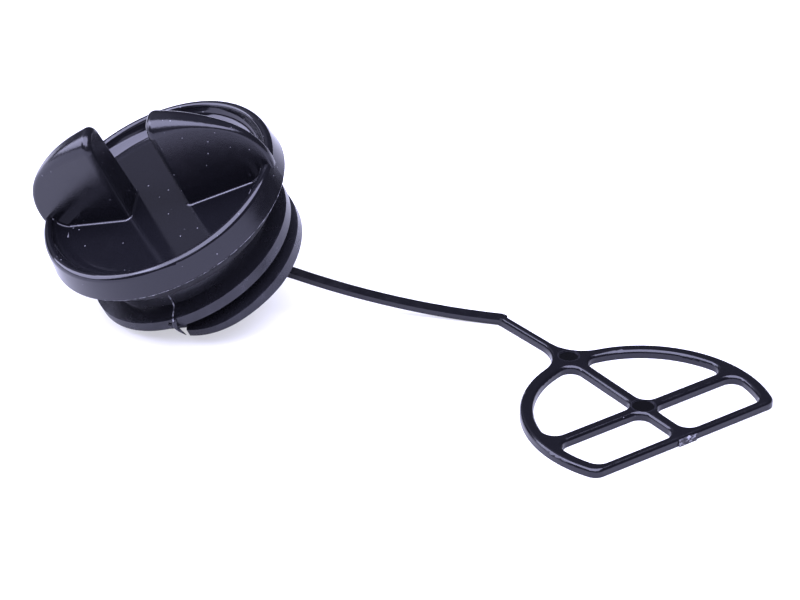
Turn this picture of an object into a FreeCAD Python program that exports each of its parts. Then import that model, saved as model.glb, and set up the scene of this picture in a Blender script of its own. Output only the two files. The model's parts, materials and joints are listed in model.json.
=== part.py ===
import FreeCAD, Part
import math
import os

from FreeCAD import Placement, Rotation, Vector

# Screw-in fuel tank cap with its seal ring and its moulded tether, lying as it comes to rest.
# Lengths are in millimetres and angles in degrees.

# Flange with a raised lip round a dished top
flange_radius = 20.0
flange_height = 4.5
rim_chamfer = 0.4
rim_draft = 8.0
lip_outer_round = 0.85
lip_inner_round = 0.6
dish_depth = 2.3
dish_corner_round = 2.6

# Two grip lugs, one each side of the finger slot
slot_width = 9.5
lug_width = 7.2
lug_taper = 10.4
lug_draft = 2.2
lug_height = 16.0
crest_fall = 10.3
crest_turn = 39.5
crest_radius = 25.5
shoulder_radius = 10.0
shoulder_end = 100.0
crest_round = 2.7
nose_round = 0.6
round_share = 1.05
lug_corner_round = 1.0
lug_foot_fillet = 0.3

# Hollow stem below the flange, with an air notch across its mouth
neck_radius = 14.2
stem_length = 14.0
stem_wall = 2.6
mouth_chamfer = 1.6
notch_width = 8.0
notch_depth = 1.2
notch_azimuth = 38.1

# Coarse right-hand thread, one start, running in to full height
thread_height = 2.9
thread_pitch = 4.4
thread_crest_width = 1.75
thread_root_width = 2.9
thread_start_rise = 1.0
thread_start_angle = -89.5
thread_turns = 1.45
lead_height = 1.3
lead_angle = 30.0
thread_mouth_gap = 0.85
thread_root_sink = 0.4

# Rubber seal ring round the neck
seal_section = 3.2
seal_gap = 0.1

# Snap socket in the cap and the tether's button in it
socket_radius = 4.6
socket_length = 12.0
button_stalk_radius = 2.0
button_head_radius = 2.9
button_head_tip_radius = 1.9
button_head_height = 2.4
button_slit = 0.9
lip_length = 1.8
head_room = 0.8
swivel_gap = 0.3
puck_radius = 2.7

# Strap from the button to the retainer, bent as it lies
strap_width = 1.5
strap_thickness = 1.1
strap_root_radius = 18.3
strap_root_depth = 14.0
strap_drop_angle = 38.8
strap_end_angle = 19.84
strap_azimuth = -5.62
strap_end_rise = 0.15

# Half-moon retainer that stays inside the tank
bar_height = 1.4
bar_round = 0.62
neck_length = 15.45
neck_width = 1.45
neck_skew = 3.5
neck_fillet = 6.0
bow_radius = 19.15
bow_width = 2.05
base_reach = 8.85
base_width = 1.4
spine_width = 1.9
cross_offset = 1.3
cross_width = 1.8
window_round = 2.0
corner_round = 2.0
hub_mark_radius = 1.6
cross_mark_radius = 1.8
mark_depth = 0.2
gate_width = 3.2
gate_reach = 0.25
gate_height = 1.0

# How the cap lies: leaning over on the two corners of the notch at one end
cap_tilt = 26.2
lean_azimuth = -96.7

# Places closer than this count as one
same = 1e-5

floor_top = flange_height - dish_depth
crest_reach = neck_radius + thread_height
mouth_radius = neck_radius - mouth_chamfer
hollow_radius = neck_radius - stem_wall
notch_corner_reach = math.sqrt(mouth_radius ** 2 - (notch_width / 2) ** 2)
lug_turn = 180 - notch_azimuth


def sin(angle):
    return math.sin(math.radians(angle))


def cos(angle):
    return math.cos(math.radians(angle))


def tan(angle):
    return math.tan(math.radians(angle))


def on_arc(centre, radius, angle):
    """Point of an arc in the XZ plane, with the angle counted from +Z towards +X."""
    return Vector(centre.x + radius * sin(angle), 0, centre.z + radius * cos(angle))


def arc(centre, radius, start, end):
    """Arc edge in the XZ plane between two angles counted from +Z towards +X."""
    middle = on_arc(centre, radius, (start + end) / 2)
    return Part.Arc(on_arc(centre, radius, start), middle, on_arc(centre, radius, end)).toShape()


def outline(*pieces):
    """Closed face from arcs and corner points in order, with straight edges between them."""
    edges = []
    first = last = None
    for piece in pieces:
        start, end = (piece, piece) if isinstance(piece, Vector) else path_ends(piece)
        if first is None:
            first = start
        elif last.distanceToPoint(start) > same:
            edges.append(Part.makeLine(last, start))
        if not isinstance(piece, Vector):
            edges.append(piece)
        last = end
    edges.append(Part.makeLine(last, first))
    return Part.Face(Part.Wire(edges))


def path_ends(edge):
    return edge.valueAt(edge.FirstParameter), edge.valueAt(edge.LastParameter)


def spun(face):
    """Solid of revolution of an XZ face about the cap's axis."""
    return face.revolve(Vector(), Vector(0, 0, 1), 360)


def xz(x, z):
    return Vector(x, 0, z)


def lip_crest_radius():
    """Radius of the lip's crest, where the drafted side of the rim rounds over."""
    round_start = flange_height - lip_outer_round * (1 - sin(rim_draft))
    return flange_radius - (round_start - rim_chamfer) * tan(rim_draft) - lip_outer_round * cos(rim_draft)


def cap_shell():
    """Flange, dished top, neck and hollow stem as one turned form, notched across the mouth."""
    lip_crest = lip_crest_radius()
    lip_inner = lip_crest - lip_inner_round
    lip_inner_top = flange_height - lip_inner_round
    dish_rise = lip_inner_top - floor_top
    dish_angle = math.degrees(math.acos(1 - dish_rise / dish_corner_round))
    dish_radius = lip_inner - dish_corner_round * sin(dish_angle)
    profile = outline(
        xz(0, floor_top),
        arc(xz(dish_radius, floor_top + dish_corner_round), dish_corner_round, 180, 180 - dish_angle),
        arc(xz(lip_crest, lip_inner_top), lip_inner_round, -90, 0),
        arc(xz(lip_crest, flange_height - lip_outer_round), lip_outer_round, 0, 90 - rim_draft),
        xz(flange_radius, rim_chamfer),
        xz(flange_radius - rim_chamfer, 0),
        xz(neck_radius, 0),
        xz(neck_radius, mouth_chamfer - stem_length),
        xz(mouth_radius, -stem_length),
        xz(hollow_radius, -stem_length),
        xz(hollow_radius, 0),
        xz(0, 0),
    )
    notch_base = Vector(-neck_radius, -notch_width / 2, -stem_length)
    notch = Part.makeBox(2 * neck_radius, notch_width, notch_depth, notch_base)
    notch.rotate(Vector(), Vector(0, 0, 1), notch_azimuth)
    return spun(profile).cut(notch)


def lug_blank():
    """One lug with sharp edges: a tapered, drafted wedge under an arched crest."""
    inner = slot_width / 2
    top = floor_top + lug_height
    sunk = floor_top / 2
    crest_centre = xz(inner - crest_radius * sin(crest_fall), top - crest_radius * cos(crest_fall))
    shoulder_centre = crest_centre + xz(sin(crest_turn), cos(crest_turn)) * (crest_radius - shoulder_radius)
    nose_x = shoulder_centre.x + shoulder_radius
    side = outline(
        xz(inner, sunk),
        arc(crest_centre, crest_radius, crest_fall, crest_turn),
        arc(shoulder_centre, shoulder_radius, crest_turn, shoulder_end),
        xz(lip_crest_radius(), sunk),
    )
    side.translate(Vector(0, -lug_width, 0))
    arched = side.extrude(Vector(0, 2 * lug_width, 0))

    def wedge_section(height):
        root = lug_width / 2 - (height - floor_top) * tan(lug_draft)
        tip = root - (nose_x - inner) * tan(lug_taper)
        corners = [(inner, -root), (nose_x, -tip), (nose_x, tip), (inner, root), (inner, -root)]
        return Part.makePolygon([Vector(x, y, height) for x, y in corners])

    wedge = Part.makeLoft([wedge_section(sunk), wedge_section(top)], True, True)
    return arched.common(wedge), nose_x


def rounded(solid, radius_of):
    """Solid with each edge rounded that the function gives a pair of end radii for."""
    document = FreeCAD.newDocument()
    base = document.addObject("Part::Feature", "Base")
    base.Shape = solid
    fillet = document.addObject("Part::Fillet", "Fillet")
    fillet.Base = base
    chosen = [(number, radius_of(edge)) for number, edge in enumerate(base.Shape.Edges, 1)]
    fillet.Edges = [(number, *radii) for number, radii in chosen if radii]
    document.recompute()
    result = fillet.Shape.copy()
    FreeCAD.closeDocument(document.Name)
    return result


def lug():
    """One grip lug, its crest rounding off broadly at the slot and tightly at the nose.

    The rounding takes at most a share of the lug's half width, and runs on down below a steep nose.
    """
    blank, nose_x = lug_blank()
    inner = slot_width / 2

    def crest_radii(edge):
        start, end = path_ends(edge)
        on_wall = abs(start.y) > 0.01 and abs(end.y) > 0.01 and start.y * end.y > 0
        run = abs(start.x - end.x)
        along = run > 0.01 and min(start.z, end.z) > floor_top
        under_steep_nose = run < nose_round and min(start.x, end.x) > inner + same
        if not (on_wall and (along or under_steep_nose)):
            return None
        return tuple(
            min(crest_round + (nose_round - crest_round) * (point.x - inner) / (nose_x - inner),
                round_share * abs(point.y))
            for point in (start, end)
        )

    crested = rounded(blank, crest_radii)

    def face_radii(edge):
        points = [*path_ends(edge), edge.valueAt((edge.FirstParameter + edge.LastParameter) / 2)]
        on_face = all(abs(point.x - inner) < same for point in points)
        return (lug_corner_round, lug_corner_round) if on_face and points[2].z > floor_top else None

    return rounded(crested, face_radii)


def lead_waste():
    """What the thread's lead lacks: all beyond a smaller circle that meets the crest at the lead's end."""
    lead_reach = neck_radius + lead_height
    short = crest_reach - lead_reach
    across = 2 * (crest_reach - lead_reach * cos(lead_angle))
    middle = short * (crest_reach + lead_reach) / across
    base = Vector(0, 0, -thread_pitch / 2)
    outside = Part.makeCylinder(2 * crest_reach, thread_pitch, base, Vector(0, 0, 1), 2 * lead_angle)
    outside.rotate(Vector(), Vector(0, 0, 1), -lead_angle)
    inside_base = base + Vector(cos(lead_angle), sin(lead_angle), 0) * middle
    return outside.cut(Part.makeCylinder(crest_reach - middle, thread_pitch, inside_base))


def thread():
    """Helical ridge of trapezoid section that runs in to its full height from a square start."""
    start_height = thread_start_rise - stem_length
    base = neck_radius - thread_root_sink
    section = outline(
        xz(base, -thread_root_width / 2),
        xz(crest_reach, -thread_crest_width / 2),
        xz(crest_reach, thread_crest_width / 2),
        xz(base, thread_root_width / 2),
    )
    helix = Part.Wire(Part.makeHelix(thread_pitch, thread_pitch * thread_turns, neck_radius).Edges)
    ridge = helix.makePipeShell([section.OuterWire], True, True)
    ridge = ridge.cut(lead_waste())
    ridge.rotate(Vector(), Vector(0, 0, 1), thread_start_angle)
    ridge.translate(Vector(0, 0, start_height))
    lowest = thread_mouth_gap - stem_length
    return ridge.common(Part.makeCylinder(2 * crest_reach, stem_length, Vector(0, 0, lowest)))


def socket():
    """Tube inside the stem with a lip at its end that the tether's button snaps behind."""
    bore = button_stalk_radius + swivel_gap
    cavity = button_head_radius + swivel_gap
    lip_top = lip_length - socket_length
    cavity_top = lip_top + swivel_gap + button_head_height + head_room
    profile = outline(
        xz(0, floor_top / 2),
        xz(socket_radius, floor_top / 2),
        xz(socket_radius, -socket_length),
        xz(bore, -socket_length),
        xz(bore, lip_top),
        xz(cavity, lip_top),
        xz(cavity, cavity_top),
        xz(0, cavity_top),
    )
    return spun(profile)


def cap_body():
    """Turned form with its lugs, socket and thread, all of one moulding."""
    first_lug = lug()
    second_lug = first_lug.copy()
    second_lug.rotate(Vector(), Vector(0, 0, 1), 180)
    body = cap_shell().fuse([first_lug, second_lug]).removeSplitter()
    body = with_rounds(body, lug_foot_fillet, at_lug_foot)
    return body.fuse([socket(), thread()])


def at_lug_foot(edge):
    """True for the edges where a lug's sides and inner face stand on the dished floor."""
    points = [*path_ends(edge), edge.valueAt((edge.FirstParameter + edge.LastParameter) / 2)]
    level = all(abs(point.z - floor_top) < same for point in points)
    on_side = all(abs(point.y) < lug_width / 2 for point in points)
    past_slot = all(abs(point.x) > slot_width / 2 - same for point in points)
    return level and on_side and past_slot


def seal_ring():
    """Round-section ring seated under the flange and round the neck."""
    half = seal_section / 2
    return Part.makeTorus(neck_radius + seal_gap + half, half, Vector(0, 0, -seal_gap - half))


def button():
    """Split snap head on a stalk, with a puck below it that carries the strap."""
    head_base = lip_length - socket_length + swivel_gap
    puck_top = -socket_length - swivel_gap
    puck_bottom = -strap_root_depth - strap_thickness / 2
    turned = spun(outline(
        xz(0, puck_bottom),
        xz(puck_radius, puck_bottom),
        xz(puck_radius, puck_top),
        xz(button_stalk_radius, puck_top),
        xz(button_stalk_radius, head_base),
        xz(button_head_radius, head_base),
        xz(button_head_tip_radius, head_base + button_head_height),
        xz(0, head_base + button_head_height),
    ))
    slit_depth = button_head_height + lip_length / 2
    slit = Part.makeBox(4 * button_head_radius, button_slit, slit_depth)
    slit.translate(Vector(-2 * button_head_radius, -button_slit / 2, head_base - lip_length / 2))
    return turned.cut(slit)


def cap_placement():
    """Tilts the cap over and sets the two corners of its notch on the floor."""
    turn = Rotation(Vector(0, 0, 1), lean_azimuth)
    lean = Rotation(Vector(0, 1, 0), cap_tilt)
    roll = Rotation(Vector(0, 0, 1), lug_turn)
    height = stem_length * cos(cap_tilt) + notch_corner_reach * sin(cap_tilt)
    return Placement(Vector(0, 0, height), turn * lean * roll)


def strap(place):
    """Strap as two tangent bands in a plane through the cap's axis, and where its end lies."""
    out = place.Rotation.multVec(Vector(cos(strap_azimuth), sin(strap_azimuth), 0))
    up = place.Rotation.multVec(Vector(0, 0, 1))
    root = xz(0, -strap_root_depth)
    bend_centre = root + xz(puck_radius, -strap_root_radius)
    bend_end = on_arc(bend_centre, strap_root_radius, strap_drop_angle)
    end_drop = bar_height / 2 + strap_end_rise - place.Base.z - out.z * bend_end.x - up.z * bend_end.z
    unit_drop = (sin(strap_drop_angle) - sin(strap_end_angle)) * out.z
    unit_drop -= (cos(strap_end_angle) - cos(strap_drop_angle)) * up.z
    sweep_radius = end_drop / unit_drop
    sweep_centre = bend_end + xz(sin(strap_drop_angle), cos(strap_drop_angle)) * sweep_radius
    half = strap_thickness / 2
    face = outline(
        root + xz(0, -half),
        root + xz(0, half),
        arc(bend_centre, strap_root_radius + half, 0, strap_drop_angle),
        arc(sweep_centre, sweep_radius - half, strap_drop_angle + 180, strap_end_angle + 180),
        arc(sweep_centre, sweep_radius + half, strap_end_angle + 180, strap_drop_angle + 180),
        arc(bend_centre, strap_root_radius - half, strap_drop_angle, 0),
    )
    face.translate(Vector(0, -strap_width / 2, 0))
    band = face.extrude(Vector(0, strap_width, 0))
    band.rotate(Vector(), Vector(0, 0, 1), strap_azimuth)
    end = on_arc(sweep_centre, sweep_radius, strap_end_angle + 180)
    end = Rotation(Vector(0, 0, 1), strap_azimuth).multVec(end)
    return band, end


def bar(x_low, x_high, y_low, y_high, height=bar_height):
    return Part.makeBox(x_high - x_low, y_high - y_low, height, Vector(x_low, y_low, 0))


def with_rounds(solid, radius, chosen):
    """Solid with the edges rounded that the function picks."""
    return solid.makeFillet(radius, [edge for edge in solid.Edges if chosen(edge)])


def upright(edge):
    start, end = path_ends(edge)
    return math.hypot(start.x - end.x, start.y - end.y) < same


def half_moon(radius, base_x):
    """Disc of the bow cut off along the base, with the disc's middle at the origin."""
    disc = Part.makeCylinder(radius, bar_height)
    return disc.common(bar(-2 * radius, base_x, -2 * radius, 2 * radius))


def retainer():
    """Half-moon frame with spine, crossbar and neck, its middle at the bow's centre."""
    cross_x = -cross_offset
    plate = with_rounds(half_moon(bow_radius, base_reach), corner_round, upright)
    windows = half_moon(bow_radius - bow_width, base_reach - base_width)
    far = 2 * bow_radius
    windows = windows.cut(bar(-far, far, -spine_width / 2, spine_width / 2))
    windows = windows.cut(bar(cross_x - cross_width / 2, cross_x + cross_width / 2, -far, far))
    plate = plate.cut([with_rounds(window, window_round, upright) for window in windows.Solids])
    hub_x = -bow_radius
    stem = bar(-neck_length, bow_width / 2, -neck_width / 2, neck_width / 2)
    stem.rotate(Vector(), Vector(0, 0, 1), neck_skew)
    stem.translate(Vector(hub_x, 0, 0))
    plate = plate.fuse(stem.cut(half_moon(bow_radius - bow_width, base_reach))).removeSplitter()
    plate = with_rounds(plate, neck_fillet, lambda edge: upright(edge) and at_neck_root(edge, hub_x))
    plate = with_rounds(plate, bar_round, on_top)
    for mark_x, radius in ((hub_x, hub_mark_radius), (cross_x, cross_mark_radius)):
        plate = plate.cut(Part.makeCylinder(radius, bar_height, Vector(mark_x, 0, bar_height - mark_depth)))
    gate_x = base_reach - base_width / 2, base_reach + gate_reach
    gate = bar(*gate_x, -gate_width / 2, gate_width / 2, gate_height)
    return plate.fuse(gate).removeSplitter(), hub_x


def at_neck_root(edge, hub_x):
    point = edge.valueAt(edge.FirstParameter)
    return abs(point.x - hub_x) < bow_width and abs(point.y) < neck_width


def on_top(edge):
    points = [*path_ends(edge), edge.valueAt((edge.FirstParameter + edge.LastParameter) / 2)]
    return all(abs(point.z - bar_height) < same for point in points)


def tether(place):
    """Button, strap and retainer moulded as one piece."""
    band, end = strap(place)
    lead = button().fuse(band)
    lead.Placement = place.multiply(lead.Placement)
    frame, hub_x = retainer()
    joint = place.multVec(end)
    hub = joint + Vector(neck_length * cos(neck_skew), neck_length * sin(neck_skew), 0)
    frame.translate(Vector(hub.x - hub_x, hub.y, 0))
    knuckle = Part.makeCylinder(strap_width / 2, bar_height, Vector(joint.x, joint.y, 0))
    return lead.fuse([frame, knuckle]).removeSplitter()


def placed(shape, place):
    shape.Placement = place.multiply(shape.Placement)
    return shape


place = cap_placement()
nodes = {
    "cap_body": placed(cap_body(), place),
    "seal_ring": placed(seal_ring(), place),
    "tether": tether(place),
}

# The origin is the middle of the floor area that the whole part covers.
box = FreeCAD.BoundBox()
for shape in nodes.values():
    box.add(shape.optimalBoundingBox(False))
shift = Vector(-box.Center.x, -box.Center.y, -box.ZMin)

os.makedirs("parts", exist_ok=True)
for name, shape in nodes.items():
    shape.translate(shift)
    shape.exportStep(f"parts/{name}.step")
    print(name, shape.ShapeType, len(shape.Solids), shape.isValid(), round(shape.Volume, 1))
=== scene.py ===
"""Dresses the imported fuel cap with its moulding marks, finishes, light and camera."""

import json
import math

import bpy
from bpy.props import FloatProperty, FloatVectorProperty, IntProperty, PointerProperty
from mathutils import Matrix, Vector


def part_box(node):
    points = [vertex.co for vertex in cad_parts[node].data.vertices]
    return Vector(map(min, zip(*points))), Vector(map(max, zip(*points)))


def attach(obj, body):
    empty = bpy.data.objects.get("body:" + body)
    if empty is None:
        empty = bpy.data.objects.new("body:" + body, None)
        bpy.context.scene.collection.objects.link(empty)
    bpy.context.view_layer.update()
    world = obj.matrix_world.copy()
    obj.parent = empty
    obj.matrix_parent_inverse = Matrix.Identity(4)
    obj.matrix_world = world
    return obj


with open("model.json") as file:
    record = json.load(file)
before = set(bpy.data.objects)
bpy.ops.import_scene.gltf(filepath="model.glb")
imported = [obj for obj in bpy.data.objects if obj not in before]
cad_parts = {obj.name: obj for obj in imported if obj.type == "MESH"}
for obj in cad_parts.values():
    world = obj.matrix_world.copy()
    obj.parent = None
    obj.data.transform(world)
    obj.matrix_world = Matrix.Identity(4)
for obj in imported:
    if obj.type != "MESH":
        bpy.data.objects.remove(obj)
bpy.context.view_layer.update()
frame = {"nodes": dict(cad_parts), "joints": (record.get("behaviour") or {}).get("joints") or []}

bl_info = {
    "name": "Fuel Cap Dresser",
    "version": (1, 0, 0),
    "blender": (4, 5, 0),
    "location": "View3D > Sidebar > Fuel Cap",
    "description": "Adds the moulding marks, finishes, light and camera of a tethered fuel cap",
    "category": "Object",
}

MM = 0.001

# Cap's own frame: middle of the flange's underside, Z out of the dished top, X along the lugs
SWIVEL = frame["joints"][0]
CAP_CENTRE = Vector(SWIVEL["pos_m"])
CAP_AXIS = Vector(SWIVEL["axis"]).normalized()
CAP_TILT = CAP_AXIS.angle(Vector((0, 0, 1)))
LEAN_AZIMUTH = math.atan2(CAP_AXIS.y, CAP_AXIS.x)
LUG_TURN = math.radians(141.9)
CAP_TURN = (
    Matrix.Rotation(LEAN_AZIMUTH, 3, "Z")
    @ Matrix.Rotation(CAP_TILT, 3, "Y")
    @ Matrix.Rotation(LUG_TURN, 3, "Z")
)
CAP_PLACE = Matrix.Translation(CAP_CENTRE) @ CAP_TURN.to_4x4()
LIP_HEIGHT = 4.5 * MM

# Where the cap's finish changes over, as two heights or two radii in its own frame
STEM_BLEND = (0.2 * MM, -0.2 * MM)
TOP_BLEND = (1.0 * MM, 2.0 * MM)
LUG_BLEND = (4.6 * MM, 5.6 * MM)
THREAD_BLEND = (-3.0 * MM, -4.0 * MM)
CREST_BLEND = (16.7 * MM, 17.0 * MM)

# Band of painted highlight on the fillets at the feet of the lugs, in the cap's own frame
FOOT_LOW = 2.24 * MM
FOOT_HIGH = 2.33 * MM
FOOT_START = 5.0 * MM
FOOT_END = 15.8 * MM
FOOT_HALF_WIDTH = 4.2 * MM
FOOT_HIGHLIGHT_STRENGTH = 0.9

# Retainer with its two ejector marks, measured back from the tether's far corner
RETAINER_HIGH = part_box("tether")[1]
BOW_RADIUS = 19.15 * MM
BASE_REACH = 9.1 * MM
CROSS_OFFSET = 1.3 * MM
MARK_HEIGHT = 1.2 * MM
BOW_MIDDLE = Vector((RETAINER_HIGH.x - BASE_REACH, RETAINER_HIGH.y - BOW_RADIUS, MARK_HEIGHT))
HUB_MARK = BOW_MIDDLE - Vector((BOW_RADIUS, 0, 0))
CROSS_MARK = BOW_MIDDLE - Vector((CROSS_OFFSET, 0, 0))
HUB_MARK_RADIUS = 1.6 * MM
CROSS_MARK_RADIUS = 1.8 * MM
MARK_EDGE = 0.14 * MM
# Share of lighter grey in the rings round the marks' edges
MARK_RIM_LIGHTENING = 0.6

# Roughness of the plastics, least and added
CAP_GLOSS = 0.07
CAP_GLOSS_SPREAD = 0.05
LUG_SATIN = 0.13
STEM_SATIN = 0.16
TETHER_GLOSS = 0.12
TETHER_GLOSS_SPREAD = 0.08

# Grain, dust and wear, as shares
PATCH_LEVELS = (0.38, 0.68)
SPECK_LEAST = 0.03
SPECK_SPREAD = 0.09
COARSE_GRAIN = 3.0
STEM_WEAR = 0.25
STRETCHED = 0.8
BLOOM = 0.12

# Strands of flash on the parting line, in millimetres from the cap's centre at that line.
# Each step is a move out, round and up, and a change of thickness.
RIDGE_START = (14.2, 0.0, -5.2)
RIDGE_STEPS = (
    ((0.02, 0.03, -0.7), 1.2),
    ((0.0, -0.05, -0.7), 0.8),
    ((0.25, 0.08, -0.6), 1.3),
    ((0.75, 0.10, -0.15), 0.75),
    ((0.75, -0.12, -0.12), 1.35),
    ((0.75, 0.05, -0.12), 0.9),
    ((0.60, 0.06, -0.10), 1.2),
    ((0.12, 0.0, -0.30), 0.9),
)
CURL_START = (17.0, 0.25, -7.7)
CURL_RADIUS = 0.42 * MM
CURL_STEPS = (
    ((0.22, -0.10, -0.45), 1.25),
    ((0.10, -0.22, -0.55), 0.9),
    ((0.14, 0.10, -0.50), 0.85),
    ((0.20, 0.28, -0.45), 0.75),
    ((0.18, 0.34, -0.38), 0.7),
    ((0.10, 0.30, -0.36), 0.55),
    ((0.0, 0.16, -0.34), 0.4),
)
HOOK_START = (17.1, -0.2, -8.5)
HOOK_RADIUS = 0.30 * MM
HOOK_STEPS = (
    ((0.20, -0.20, -0.30), 1.1),
    ((0.12, -0.28, -0.10), 0.85),
    ((-0.06, -0.26, 0.16), 0.75),
    ((-0.10, -0.10, 0.26), 0.6),
    ((-0.08, 0.06, 0.20), 0.4),
)
STRAND_SMOOTHING = 2

# Flash on the flange's lower edge, and the stub of the broken gate
RIM_FLASH_RADIUS = 19.78 * MM
RIM_FLASH_HEIGHT = 0.22 * MM
RIM_FLASH_RAGGEDNESS = 0.6
GATE_SIZE = Vector((0.5, 3.2, 0.95)) * MM
GATE_MIDDLE_HEIGHT = 0.62 * MM
SMOOTH_ANGLE = math.radians(35)

# Studio: the camera stands off from the middle of the lip
CAMERA_RIGHT = Vector((0.5807, 0.8141, 0.0)).normalized()
CAMERA_FORWARD = Vector((-0.7086, 0.5054, -0.4924)).normalized()
CAMERA_STAND = Vector((356.3, -207.9, 212.4)) * MM
SENSOR_WIDTH = 36.0
NEAREST_SEEN = 10 * MM
FLOOR_SIZE = 6.0
BACKDROP_LEVEL = 1.5


class FuelCapSizes(bpy.types.PropertyGroup):
    """Sizes of the moulding marks that are added to the solids."""

    parting_azimuth: FloatProperty(
        name="Parting line azimuth", description="Where the mould's halves met on the stem, from the lugs",
        default=math.radians(-90), subtype="ANGLE")
    parting_width: FloatProperty(
        name="Parting ridge width", description="Width of the ridge that the mould left down the neck",
        default=0.22 * MM, subtype="DISTANCE", unit="LENGTH")
    rim_flash: FloatProperty(
        name="Rim flash", description="Half thickness of the thin flash round the flange's lower edge",
        default=0.09 * MM, subtype="DISTANCE", unit="LENGTH")
    gate_roughness: FloatProperty(
        name="Gate roughness", description="How far the torn gate's surface strays from flat",
        default=0.16 * MM, subtype="DISTANCE", unit="LENGTH")
    wear_seed: IntProperty(
        name="Wear seed", description="Seed of the ragged edges", default=7, min=0)


class FuelCapColours(bpy.types.PropertyGroup):
    """Colours of the finishes, the light and the floor."""

    cap_black: FloatVectorProperty(
        name="Cap plastic", description="Base colour of the cap's plastic",
        size=3, subtype="COLOR", default=(0.0034, 0.0034, 0.0047), min=0, max=1)
    tether_black: FloatVectorProperty(
        name="Tether plastic", description="Base colour of the tether's plastic",
        size=3, subtype="COLOR", default=(0.0030, 0.0030, 0.0042), min=0, max=1)
    seal_black: FloatVectorProperty(
        name="Seal rubber", description="Base colour of the seal ring",
        size=3, subtype="COLOR", default=(0.004, 0.004, 0.005), min=0, max=1)
    # Painted shade: the floors of the retainer's sunk ejector marks are darkened in the base colour
    mark: FloatVectorProperty(
        name="Ejector marks", description="Base colour of the sunk marks on the retainer",
        size=3, subtype="COLOR", default=(0.0012, 0.0012, 0.0016), min=0, max=1)
    # Also mixed into the lighter rings round the retainer's ejector marks
    worn: FloatVectorProperty(
        name="Worn plastic", description="Base colour of the cap's plastic on the scuffed thread crests",
        size=3, subtype="COLOR", default=(0.014, 0.014, 0.018), min=0, max=1)
    sheen: FloatVectorProperty(
        name="Sheen tint", description="Tint of what the plastics mirror",
        size=3, subtype="COLOR", default=(0.90, 0.90, 1.0), min=0, max=1)
    # Also the colour of the painted highlight along the lugs' feet
    dust: FloatVectorProperty(
        name="Dust", description="Colour of the specks that lie on the plastic",
        size=3, subtype="COLOR", default=(0.11, 0.11, 0.125), min=0, max=1)
    light: FloatVectorProperty(
        name="Light", description="Colour of the studio's light",
        size=3, subtype="COLOR", default=(0.74, 0.74, 1.0), min=0, max=1)
    flash: FloatVectorProperty(
        name="Torn plastic", description="Colour of plastic that was torn or stretched pale",
        size=3, subtype="COLOR", default=(0.30, 0.30, 0.34), min=0, max=1)
    glow: FloatVectorProperty(
        name="Glow", description="Colour of the white that the floor adds for the camera",
        size=3, subtype="COLOR", default=(0.96, 0.96, 1.0), min=0, max=1)
    floor: FloatVectorProperty(
        name="Floor", description="Colour of the studio floor",
        size=3, subtype="COLOR", default=(0.40, 0.40, 0.41), min=0, max=1)


class FuelCapStage(bpy.types.PropertyGroup):
    """Light and lens of the studio."""

    lens: FloatProperty(
        name="Lens", description="Focal length of the camera in millimetres",
        default=135.0, unit="CAMERA")
    key_power: FloatProperty(
        name="Key power", description="Power of the wide soft box overhead",
        default=38.0, unit="POWER")
    fill_power: FloatProperty(
        name="Fill power", description="Power of the soft light beside the camera",
        default=0.5, unit="POWER")
    left_power: FloatProperty(
        name="Left power", description="Power of the soft box on the camera's left",
        default=11.5, unit="POWER")
    panel_power: FloatProperty(
        name="Panel power", description="Power of the dim panel that the dish mirrors",
        default=0.4, unit="POWER")
    mirrored_level: FloatProperty(
        name="Mirrored level", description="Brightness of the room where the plastics mirror it",
        default=0.09)
    room_level: FloatProperty(
        name="Room level", description="Brightness of the room as soft light",
        default=1.8)
    backdrop_glow: FloatProperty(
        name="Backdrop glow", description="How much white the floor adds to what the camera sees",
        default=0.50)


def settings():
    """Sizes, colours and stage values of the scene."""
    scene = bpy.context.scene
    return scene.fuel_cap_sizes, scene.fuel_cap_colours, scene.fuel_cap_stage


def shared(collection, make):
    """Block of data that bears its maker's name, made on first use."""
    return collection.get(make.__name__) or make()


def opaque(colour):
    """Colour with its alpha, as sockets take it."""
    return (*colour, 1)


# Nodes

def add_node(tree, kind, values=None, **attributes):
    """New node with its attributes and its input values set."""
    node = tree.nodes.new(kind)
    for name, value in attributes.items():
        setattr(node, name, value)
    for name, value in (values or {}).items():
        node.inputs[name].default_value = value
    return node


def feed(tree, source, target):
    """Links a socket to an input, or sets the input to a plain value."""
    if isinstance(source, bpy.types.NodeSocket):
        tree.links.new(source, target)
    else:
        target.default_value = source


def math_node(tree, operation, *operands):
    """Math node whose operands are sockets or numbers; gives its output socket."""
    node = add_node(tree, "ShaderNodeMath", operation=operation)
    for operand, target in zip(operands, node.inputs):
        feed(tree, operand, target)
    return node.outputs[0]


def ramp(tree, source, low, high):
    """Smooth step from none at one level of a value to one at another; gives its output socket."""
    levels = {"From Min": low, "From Max": high}
    node = add_node(tree, "ShaderNodeMapRange", levels, interpolation_type="SMOOTHSTEP")
    tree.links.new(source, node.inputs["Value"])
    return node.outputs["Result"]


def mix_colour(tree, factor, first, second):
    """Mix of two colours, each a socket or a plain colour; gives its output socket."""
    node = add_node(tree, "ShaderNodeMix", data_type="RGBA")
    tree.links.new(factor, node.inputs["Factor"])
    targets = [socket for socket in node.inputs if socket.type == "RGBA"]
    for colour, target in zip((first, second), targets):
        plain = not isinstance(colour, bpy.types.NodeSocket)
        feed(tree, opaque(colour) if plain else colour, target)
    return next(socket for socket in node.outputs if socket.type == "RGBA")


def new_group(name, inputs, outputs):
    """Shader node group with float inputs given as name and default, and float outputs."""
    group = bpy.data.node_groups.new(name, "ShaderNodeTree")
    group.interface.new_socket("Vector", in_out="INPUT", socket_type="NodeSocketVector")
    for label, default in inputs.items():
        socket = group.interface.new_socket(label, in_out="INPUT", socket_type="NodeSocketFloat")
        socket.default_value = default
    for label in outputs:
        group.interface.new_socket(label, in_out="OUTPUT", socket_type="NodeSocketFloat")
    return group, group.nodes.new("NodeGroupInput"), group.nodes.new("NodeGroupOutput")


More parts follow.
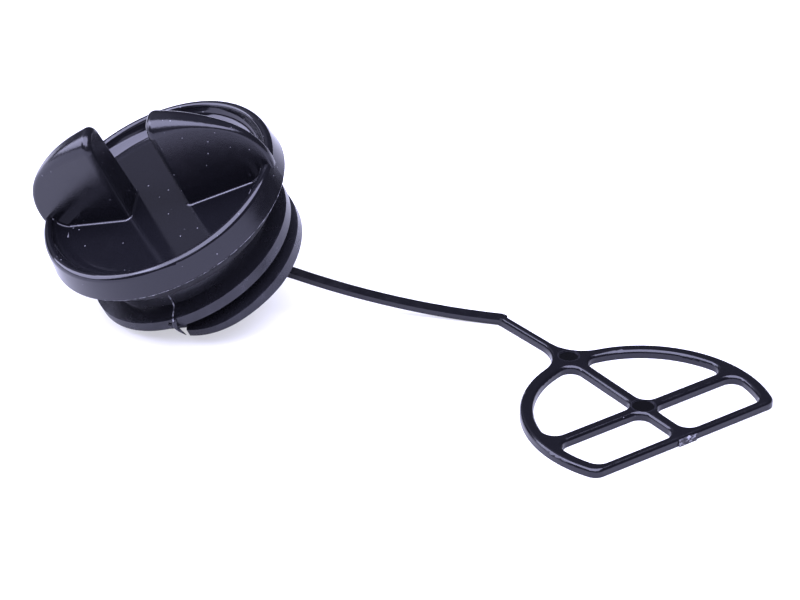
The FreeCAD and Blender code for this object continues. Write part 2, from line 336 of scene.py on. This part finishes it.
def moulded_grain():
    """Fine moulded grain over a slow waviness, as a height, and patches of uneven gloss."""
    inputs = {"Grain Scale": 9000.0, "Wave Scale": 160.0, "Wave Share": 0.5, "Patch Scale": 420.0}
    group, given, result = new_group("moulded_grain", inputs, ("Height", "Patches"))
    grain = add_node(group, "ShaderNodeTexNoise", {"Detail": 2.0, "Roughness": 0.6})
    wave = add_node(group, "ShaderNodeTexNoise", {"Detail": 1.0, "Roughness": 0.4})
    patch = add_node(group, "ShaderNodeTexNoise", {"Detail": 4.0, "Roughness": 0.62})
    for node, label in ((grain, "Grain Scale"), (wave, "Wave Scale"), (patch, "Patch Scale")):
        group.links.new(given.outputs[label], node.inputs["Scale"])
    for node in (grain, wave, patch):
        group.links.new(given.outputs["Vector"], node.inputs["Vector"])
    waves = math_node(group, "MULTIPLY", wave.outputs["Fac"], given.outputs["Wave Share"])
    height = math_node(group, "ADD", grain.outputs["Fac"], waves)
    group.links.new(height, result.inputs["Height"])
    group.links.new(ramp(group, patch.outputs["Fac"], *PATCH_LEVELS), result.inputs["Patches"])
    return group


def dust_specks():
    """Scattered round specks of several sizes, as a mask."""
    group, given, result = new_group("dust_specks", {"Scale": 700.0, "Amount": 0.06}, ("Mask",))
    cells = add_node(group, "ShaderNodeTexVoronoi", {"Randomness": 1.0}, feature="F1")
    group.links.new(given.outputs["Vector"], cells.inputs["Vector"])
    group.links.new(given.outputs["Scale"], cells.inputs["Scale"])
    chance = add_node(group, "ShaderNodeTexWhiteNoise", noise_dimensions="3D")
    group.links.new(cells.outputs["Color"], chance.inputs["Vector"])
    chosen = math_node(group, "LESS_THAN", chance.outputs["Value"], given.outputs["Amount"])
    parts = add_node(group, "ShaderNodeSeparateColor")
    group.links.new(cells.outputs["Color"], parts.inputs["Color"])
    size = math_node(group, "MULTIPLY_ADD", parts.outputs["Red"], SPECK_SPREAD, SPECK_LEAST)
    near = math_node(group, "LESS_THAN", cells.outputs["Distance"], size)
    group.links.new(math_node(group, "MULTIPLY", near, chosen), result.inputs["Mask"])
    return group


def place_group(tree, make, vector, **values):
    """Node that places a shared group, with its own values for the group's inputs."""
    node = add_node(tree, "ShaderNodeGroup", node_tree=shared(bpy.data.node_groups, make))
    tree.links.new(vector, node.inputs["Vector"])
    for label, value in values.items():
        node.inputs[label.replace("_", " ")].default_value = value
    return node


def new_material(name, roughness, specular):
    """Material with a Principled BSDF; gives the material, its tree and the shader node."""
    _, colours, _ = settings()
    material = bpy.data.materials.new(name)
    material.use_nodes = True
    tree = material.node_tree
    shader = tree.nodes["Principled BSDF"]
    shader.inputs["Roughness"].default_value = roughness
    shader.inputs["Specular IOR Level"].default_value = specular
    shader.inputs["Specular Tint"].default_value = opaque(colours.sheen)
    return material, tree, shader


def object_place(tree, origin=(0, 0, 0), turn=(0, 0, 0)):
    """Object coordinates seen from an origin and turn of the piece's own; gives the socket."""
    coordinates = add_node(tree, "ShaderNodeTexCoord")
    place = {"Location": origin, "Rotation": turn}
    mapping = add_node(tree, "ShaderNodeMapping", place, vector_type="TEXTURE")
    tree.links.new(coordinates.outputs["Object"], mapping.inputs["Vector"])
    return mapping.outputs["Vector"]


def add_bump(tree, shader, height, depth):
    """Roughens a shader's normal by a height of the given depth."""
    bump = add_node(tree, "ShaderNodeBump", {"Distance": depth, "Strength": 1.0})
    tree.links.new(height, bump.inputs["Height"])
    tree.links.new(bump.outputs["Normal"], shader.inputs["Normal"])


# Finishes

def cap_finish():
    """Glossy black plastic, satin on lugs and stem, worn on the thread, dusty on the faces that look up, with
    a painted highlight along the lugs' feet.
    """
    _, colours, _ = settings()
    material, tree, shader = new_material("cap_finish", roughness=CAP_GLOSS, specular=0.5)
    spot = object_place(tree, CAP_CENTRE, CAP_TURN.to_euler())
    grain = place_group(tree, moulded_grain, spot, Grain_Scale=5200.0, Wave_Scale=140.0, Wave_Share=0.8)
    patches = grain.outputs["Patches"]
    specks = place_group(tree, dust_specks, spot, Scale=1000.0, Amount=0.30)
    axes = add_node(tree, "ShaderNodeSeparateXYZ")
    tree.links.new(spot, axes.inputs["Vector"])
    stem = ramp(tree, axes.outputs["Z"], *STEM_BLEND)
    lugs = ramp(tree, axes.outputs["Z"], *LUG_BLEND)
    upper = ramp(tree, axes.outputs["Z"], *TOP_BLEND)
    dusty = math_node(tree, "MULTIPLY", specks.outputs["Mask"], upper)

    rough = math_node(tree, "MULTIPLY_ADD", patches, CAP_GLOSS_SPREAD, CAP_GLOSS)
    rough = math_node(tree, "MULTIPLY_ADD", lugs, LUG_SATIN, rough)
    rough = math_node(tree, "MULTIPLY_ADD", stem, STEM_SATIN, rough)
    tree.links.new(math_node(tree, "MAXIMUM", rough, dusty), shader.inputs["Roughness"])

    crest = math_node(tree, "MULTIPLY", thread_crest(tree, axes), patches)
    # Painted highlight: the fillets at the lugs' feet are lightened in the base colour
    pale = math_node(tree, "MULTIPLY", foot_line(tree, axes), FOOT_HIGHLIGHT_STRENGTH)
    stem_wear = math_node(tree, "MULTIPLY", stem, STEM_WEAR)
    black = mix_colour(tree, stem_wear, colours.cap_black, colours.worn)
    black = mix_colour(tree, crest, black, colours.worn)
    black = mix_colour(tree, pale, black, colours.dust)
    tree.links.new(mix_colour(tree, dusty, black, colours.dust), shader.inputs["Base Color"])

    coarse = math_node(tree, "ADD", stem, lugs)
    share = math_node(tree, "MULTIPLY_ADD", coarse, COARSE_GRAIN, 1.0)
    add_bump(tree, shader, math_node(tree, "MULTIPLY", grain.outputs["Height"], share), depth=0.003 * MM)
    return material


def thread_crest(tree, axes):
    """One on the outer band of the thread, below the flange; gives the socket."""
    square_x = math_node(tree, "MULTIPLY", axes.outputs["X"], axes.outputs["X"])
    square_y = math_node(tree, "MULTIPLY", axes.outputs["Y"], axes.outputs["Y"])
    reach = math_node(tree, "SQRT", math_node(tree, "ADD", square_x, square_y))
    outer = ramp(tree, reach, *CREST_BLEND)
    below = ramp(tree, axes.outputs["Z"], *THREAD_BLEND)
    return math_node(tree, "MULTIPLY", outer, below)


def foot_line(tree, axes):
    """One on the narrow fillets where the lugs stand on the dish, where a highlight is painted; gives the
    socket.
    """
    along = math_node(tree, "ABSOLUTE", axes.outputs["X"])
    across = math_node(tree, "ABSOLUTE", axes.outputs["Y"])
    mask = math_node(tree, "LESS_THAN", across, FOOT_HALF_WIDTH)
    for value, low, high in ((along, FOOT_START, FOOT_END), (axes.outputs["Z"], FOOT_LOW, FOOT_HIGH)):
        mask = math_node(tree, "MULTIPLY", mask, math_node(tree, "GREATER_THAN", value, low))
        mask = math_node(tree, "MULTIPLY", mask, math_node(tree, "LESS_THAN", value, high))
    return mask


def flash_finish():
    """Torn plastic of flash and gate, pale where it was stretched."""
    _, colours, _ = settings()
    material, tree, shader = new_material("flash_finish", roughness=0.4, specular=0.42)
    grain = place_group(
        tree, moulded_grain, object_place(tree),
        Grain_Scale=3000.0, Wave_Scale=900.0, Wave_Share=0.5, Patch_Scale=1500.0)
    stretched = math_node(tree, "MULTIPLY", grain.outputs["Patches"], STRETCHED)
    tree.links.new(mix_colour(tree, stretched, colours.cap_black, colours.flash), shader.inputs["Base Color"])
    add_bump(tree, shader, grain.outputs["Height"], depth=0.02 * MM)
    return material


def ejector_marks(tree, spot):
    """Masks of the sunk ejector marks, where shade is painted, and of the lighter rings round their edges;
    gives two sockets.
    """
    floors, edges = [], []
    for centre, radius in ((HUB_MARK, HUB_MARK_RADIUS), (CROSS_MARK, CROSS_MARK_RADIUS)):
        away = add_node(tree, "ShaderNodeVectorMath", operation="DISTANCE")
        feed(tree, spot, away.inputs[0])
        feed(tree, centre, away.inputs[1])
        floors.append(math_node(tree, "LESS_THAN", away.outputs["Value"], radius))
        off = math_node(tree, "ABSOLUTE", math_node(tree, "SUBTRACT", away.outputs["Value"], radius))
        edges.append(math_node(tree, "LESS_THAN", off, MARK_EDGE))
    return math_node(tree, "ADD", *floors), math_node(tree, "ADD", *edges)


def tether_finish():
    """Satin black plastic of the flexible tether, with its grain, a few dusty specks, painted shade in its
    sunk ejector marks and a lighter ring round each.
    """
    _, colours, _ = settings()
    material, tree, shader = new_material("tether_finish", roughness=TETHER_GLOSS, specular=0.5)
    spot = object_place(tree)
    grain = place_group(tree, moulded_grain, spot, Grain_Scale=9000.0, Wave_Scale=260.0, Wave_Share=0.8)
    specks = place_group(tree, dust_specks, spot, Scale=900.0, Amount=0.03)
    rough = math_node(tree, "MULTIPLY_ADD", grain.outputs["Patches"], TETHER_GLOSS_SPREAD, TETHER_GLOSS)
    tree.links.new(rough, shader.inputs["Roughness"])
    # Painted shade darkens the floors of the sunk marks; a lighter ring is mixed round their edges
    sunk, mark_rims = ejector_marks(tree, spot)
    rim_lightening = math_node(tree, "MULTIPLY", mark_rims, MARK_RIM_LIGHTENING)
    black = mix_colour(tree, sunk, colours.tether_black, colours.mark)
    black = mix_colour(tree, rim_lightening, black, colours.worn)
    tree.links.new(mix_colour(tree, specks.outputs["Mask"], black, colours.dust), shader.inputs["Base Color"])
    add_bump(tree, shader, grain.outputs["Height"], depth=0.006 * MM)
    return material


def seal_finish():
    """Dull black rubber with a faint bloom."""
    _, colours, _ = settings()
    material, tree, shader = new_material("seal_finish", roughness=0.6, specular=0.3)
    spot = object_place(tree, CAP_CENTRE, CAP_TURN.to_euler())
    grain = place_group(tree, moulded_grain, spot, Grain_Scale=6000.0, Wave_Scale=300.0, Wave_Share=0.4)
    bloom = math_node(tree, "MULTIPLY", grain.outputs["Patches"], BLOOM)
    tree.links.new(mix_colour(tree, bloom, colours.seal_black, colours.dust), shader.inputs["Base Color"])
    add_bump(tree, shader, grain.outputs["Height"], depth=0.010 * MM)
    return material


# Pieces

def start_piece(name, add, **values):
    """Adds a primitive with an operator, alone selected, and gives it a name."""
    if bpy.context.object and bpy.context.object.mode != "OBJECT":
        bpy.ops.object.mode_set(mode="OBJECT")
    bpy.ops.object.select_all(action="DESELECT")
    add(**values)
    piece = bpy.context.object
    piece.name = piece.data.name = name
    return piece


def put_on_cap(piece):
    """Moves a piece made in the cap's own frame to its place and fixes that in its mesh."""
    piece.matrix_world = CAP_PLACE @ piece.matrix_world
    bpy.ops.object.transform_apply(location=True, rotation=True, scale=True)


def finish_piece(piece, body, material):
    """Gives a piece its finish and the body that it rides on."""
    piece.data.materials.clear()
    piece.data.materials.append(material)
    bpy.ops.object.select_all(action="DESELECT")
    piece.select_set(True)
    bpy.context.view_layer.objects.active = piece
    bpy.ops.object.shade_smooth_by_angle(angle=SMOOTH_ANGLE)
    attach(piece, body)


def dress_node(name, make):
    """Gives a solid of the frame its finish."""
    frame["nodes"][name].data.materials[0] = shared(bpy.data.materials, make)


class FUELCAP_OT_dress_cap(bpy.types.Operator):
    """Gives the moulded cap its glossy black plastic"""

    bl_idname = "fuelcap.dress_cap"
    bl_label = "Dress Cap"

    def execute(self, context):
        dress_node("cap_body", cap_finish)
        return {"FINISHED"}


class FUELCAP_OT_dress_seal(bpy.types.Operator):
    """Gives the seal ring its dull rubber"""

    bl_idname = "fuelcap.dress_seal"
    bl_label = "Dress Seal Ring"

    def execute(self, context):
        dress_node("seal_ring", seal_finish)
        return {"FINISHED"}


class FUELCAP_OT_dress_tether(bpy.types.Operator):
    """Gives the tether its satin plastic"""

    bl_idname = "fuelcap.dress_tether"
    bl_label = "Dress Tether"

    def execute(self, context):
        dress_node("tether", tether_finish)
        return {"FINISHED"}


def draw_out(steps):
    """Extrudes what is selected step by step; each step is a move in millimetres and a scale."""
    for move, scale in steps:
        bpy.ops.mesh.extrude_region_move(TRANSFORM_OT_translate={"value": Vector(move) * MM})
        bpy.ops.transform.resize(value=(scale, scale, scale))


class FUELCAP_OT_add_parting_flash(bpy.types.Operator):
    """Adds the ridge and the torn curl that the mould's joint left on the stem"""

    bl_idname = "fuelcap.add_parting_flash"
    bl_label = "Add Parting Flash"

    def execute(self, context):
        sizes, _, _ = settings()
        plastic = shared(bpy.data.materials, cap_finish)
        torn = shared(bpy.data.materials, flash_finish)
        ridge = self.strand("parting_ridge", RIDGE_START, sizes.parting_width / 2, RIDGE_STEPS)
        curl = self.strand("parting_curl", CURL_START, CURL_RADIUS, CURL_STEPS)
        hook = self.strand("parting_hook", HOOK_START, HOOK_RADIUS, HOOK_STEPS)
        for piece, material in ((ridge, torn), (curl, plastic), (hook, plastic)):
            finish_piece(piece, "cap", material)
        return {"FINISHED"}

    @staticmethod
    def strand(name, start, radius, steps):
        """Thin strand drawn out step by step from its start on the parting line."""
        sizes, _, _ = settings()
        piece = start_piece(
            name, bpy.ops.mesh.primitive_circle_add, vertices=7, radius=radius, fill_type="NGON",
            location=Vector(start) * MM)
        bpy.ops.object.mode_set(mode="EDIT")
        bpy.ops.mesh.select_all(action="SELECT")
        draw_out(steps)
        bpy.ops.mesh.select_all(action="SELECT")
        bpy.ops.mesh.normals_make_consistent(inside=False)
        bpy.ops.object.mode_set(mode="OBJECT")
        piece.matrix_world = Matrix.Rotation(sizes.parting_azimuth, 4, "Z") @ piece.matrix_world
        put_on_cap(piece)
        round_off = piece.modifiers.new("round_off", "SUBSURF")
        round_off.levels = round_off.render_levels = STRAND_SMOOTHING
        bpy.ops.object.modifier_apply(modifier=round_off.name)
        return piece


class FUELCAP_OT_add_rim_flash(bpy.types.Operator):
    """Adds the thin ragged flash round the flange's lower edge"""

    bl_idname = "fuelcap.add_rim_flash"
    bl_label = "Add Rim Flash"

    def execute(self, context):
        sizes, _, _ = settings()
        ring = start_piece(
            "rim_flash", bpy.ops.mesh.primitive_torus_add, major_segments=220, minor_segments=8,
            major_radius=RIM_FLASH_RADIUS, minor_radius=sizes.rim_flash, location=(0, 0, RIM_FLASH_HEIGHT))
        bpy.ops.object.mode_set(mode="EDIT")
        bpy.ops.mesh.select_all(action="SELECT")
        raggedness = sizes.rim_flash * RIM_FLASH_RAGGEDNESS
        bpy.ops.transform.vertex_random(offset=raggedness, seed=sizes.wear_seed)
        bpy.ops.object.mode_set(mode="OBJECT")
        put_on_cap(ring)
        finish_piece(ring, "cap", shared(bpy.data.materials, flash_finish))
        return {"FINISHED"}


class FUELCAP_OT_add_gate_break(bpy.types.Operator):
    """Adds the torn stub where the tether was broken from its runner"""

    bl_idname = "fuelcap.add_gate_break"
    bl_label = "Add Gate Break"

    def execute(self, context):
        sizes, _, _ = settings()
        middle = (RETAINER_HIGH.x - GATE_SIZE.x / 2, BOW_MIDDLE.y, GATE_MIDDLE_HEIGHT)
        stub = start_piece(
            "gate_break", bpy.ops.mesh.primitive_cube_add, size=1.0, location=middle, scale=GATE_SIZE)
        bpy.ops.object.transform_apply(location=True, rotation=True, scale=True)
        bpy.ops.object.mode_set(mode="EDIT")
        bpy.ops.mesh.select_all(action="SELECT")
        bpy.ops.mesh.subdivide(number_cuts=7)
        bpy.ops.transform.vertex_random(offset=sizes.gate_roughness, seed=sizes.wear_seed)
        bpy.ops.object.mode_set(mode="OBJECT")
        finish_piece(stub, "tether", shared(bpy.data.materials, flash_finish))
        return {"FINISHED"}


# Stage

class FUELCAP_OT_set_stage(bpy.types.Operator):
    """Sets up the floor, the soft light, the white surroundings and the camera"""

    bl_idname = "fuelcap.set_stage"
    bl_label = "Set Stage"

    def execute(self, context):
        scene = context.scene
        scene.view_settings.view_transform = "Standard"
        self.add_floor()
        self.add_world(scene)
        self.add_lights()
        self.add_camera(scene)
        return {"FINISHED"}

    def add_floor(self):
        """Pale floor that adds a white glow for the camera alone."""
        _, colours, stage = settings()
        floor = start_piece("studio_floor", bpy.ops.mesh.primitive_plane_add, size=FLOOR_SIZE)
        material, tree, shader = new_material("studio_floor", roughness=0.9, specular=0.1)
        shader.inputs["Base Color"].default_value = opaque(colours.floor)
        seen = self.seen_mask(tree)
        glow = add_node(tree, "ShaderNodeEmission", {"Color": opaque(colours.glow)})
        tree.links.new(math_node(tree, "MULTIPLY", seen, stage.backdrop_glow), glow.inputs["Strength"])
        both = add_node(tree, "ShaderNodeAddShader")
        tree.links.new(shader.outputs["BSDF"], both.inputs[0])
        tree.links.new(glow.outputs["Emission"], both.inputs[1])
        tree.links.new(both.outputs["Shader"], tree.nodes["Material Output"].inputs["Surface"])
        floor.data.materials.append(material)

    @staticmethod
    def seen_mask(tree):
        """One for rays that show the floor to the camera, also through a clear piece; gives the socket."""
        path = add_node(tree, "ShaderNodeLightPath")
        return math_node(tree, "MAXIMUM", path.outputs["Is Camera Ray"], path.outputs["Is Transmission Ray"])

    def add_world(self, scene):
        """White room for the camera, soft light for the floor and dim where the plastics mirror it."""
        _, colours, stage = settings()
        world = bpy.data.worlds.new("studio_white")
        world.use_nodes = True
        scene.world = world
        tree = world.node_tree
        background = tree.nodes["Background"]
        background.inputs["Color"].default_value = opaque(colours.light)
        path = add_node(tree, "ShaderNodeLightPath")
        dimming = stage.mirrored_level - stage.room_level
        level = math_node(tree, "MULTIPLY_ADD", path.outputs["Is Glossy Ray"], dimming, stage.room_level)
        white = math_node(tree, "MULTIPLY", path.outputs["Is Camera Ray"], BACKDROP_LEVEL)
        tree.links.new(math_node(tree, "MAXIMUM", level, white), background.inputs["Strength"])

    def add_lights(self):
        """Wide soft box flat overhead, lights on either side of the camera and a panel beyond the cap."""
        _, _, stage = settings()
        soft_box = self.add_area(
            "soft_box", place=(0.20, -0.34, 0.75), size=(1.35, 1.05), power=stage.key_power)
        soft_box.rotation_euler = (0, 0, math.atan2(CAMERA_RIGHT.y, CAMERA_RIGHT.x))
        self.add_area("fill_light", place=(0.55, -0.45, 0.50), size=(0.35, 0.35), power=stage.fill_power)
        self.add_area("left_box", place=(-0.55, -0.58, 0.44), size=(0.70, 0.70), power=stage.left_power)
        self.add_area("side_panel", place=(-0.72, -0.06, 0.59), size=(0.60, 0.60), power=stage.panel_power)

    @staticmethod
    def add_area(name, place, size, power):
        """Soft rectangular lamp that faces the middle of the floor."""
        _, colours, _ = settings()
        bpy.ops.object.light_add(type="AREA", location=place)
        lamp = bpy.context.object
        lamp.name = name
        lamp.data.shape = "RECTANGLE"
        lamp.data.size, lamp.data.size_y = size
        lamp.data.energy = power
        lamp.data.color = colours.light
        lamp.rotation_euler = (-Vector(place)).to_track_quat("-Z", "Y").to_euler()
        return lamp

    def add_camera(self, scene):
        """Camera placed and turned as for the photograph."""
        _, _, stage = settings()
        up = CAMERA_RIGHT.cross(CAMERA_FORWARD)
        lip_middle = CAP_CENTRE + CAP_AXIS * LIP_HEIGHT
        bpy.ops.object.camera_add(location=lip_middle + CAMERA_STAND)
        camera = bpy.context.object
        camera.name = "photo_camera"
        camera.rotation_euler = Matrix((CAMERA_RIGHT, up, -CAMERA_FORWARD)).transposed().to_euler()
        camera.data.lens = stage.lens
        camera.data.sensor_width = SENSOR_WIDTH
        camera.data.clip_start = NEAREST_SEEN
        scene.camera = camera


# Panel and registration

class FUELCAP_PT_dresser(bpy.types.Panel):
    """Sidebar panel with the steps in order"""

    bl_idname = "FUELCAP_PT_dresser"
    bl_label = "Fuel Cap"
    bl_space_type = "VIEW_3D"
    bl_region_type = "UI"
    bl_category = "Fuel Cap"

    def draw(self, context):
        for step in STEPS:
            self.layout.operator(step.bl_idname)


STEPS = (
    FUELCAP_OT_dress_cap,
    FUELCAP_OT_dress_seal,
    FUELCAP_OT_dress_tether,
    FUELCAP_OT_add_parting_flash,
    FUELCAP_OT_add_rim_flash,
    FUELCAP_OT_add_gate_break,
    FUELCAP_OT_set_stage,
)
GROUPS = {
    "fuel_cap_sizes": FuelCapSizes,
    "fuel_cap_colours": FuelCapColours,
    "fuel_cap_stage": FuelCapStage,
}


def register():
    for cls in (*GROUPS.values(), *STEPS, FUELCAP_PT_dresser):
        bpy.utils.register_class(cls)
    for name, cls in GROUPS.items():
        setattr(bpy.types.Scene, name, PointerProperty(type=cls))


def unregister():
    for name in GROUPS:
        delattr(bpy.types.Scene, name)
    for cls in reversed((*GROUPS.values(), *STEPS, FUELCAP_PT_dresser)):
        bpy.utils.unregister_class(cls)


def main():
    register()
    bpy.ops.fuelcap.dress_cap()
    bpy.ops.fuelcap.dress_seal()
    bpy.ops.fuelcap.dress_tether()
    bpy.ops.fuelcap.add_parting_flash()
    bpy.ops.fuelcap.add_rim_flash()
    bpy.ops.fuelcap.add_gate_break()
    bpy.ops.fuelcap.set_stage()


if __name__ == "__main__":
    main()
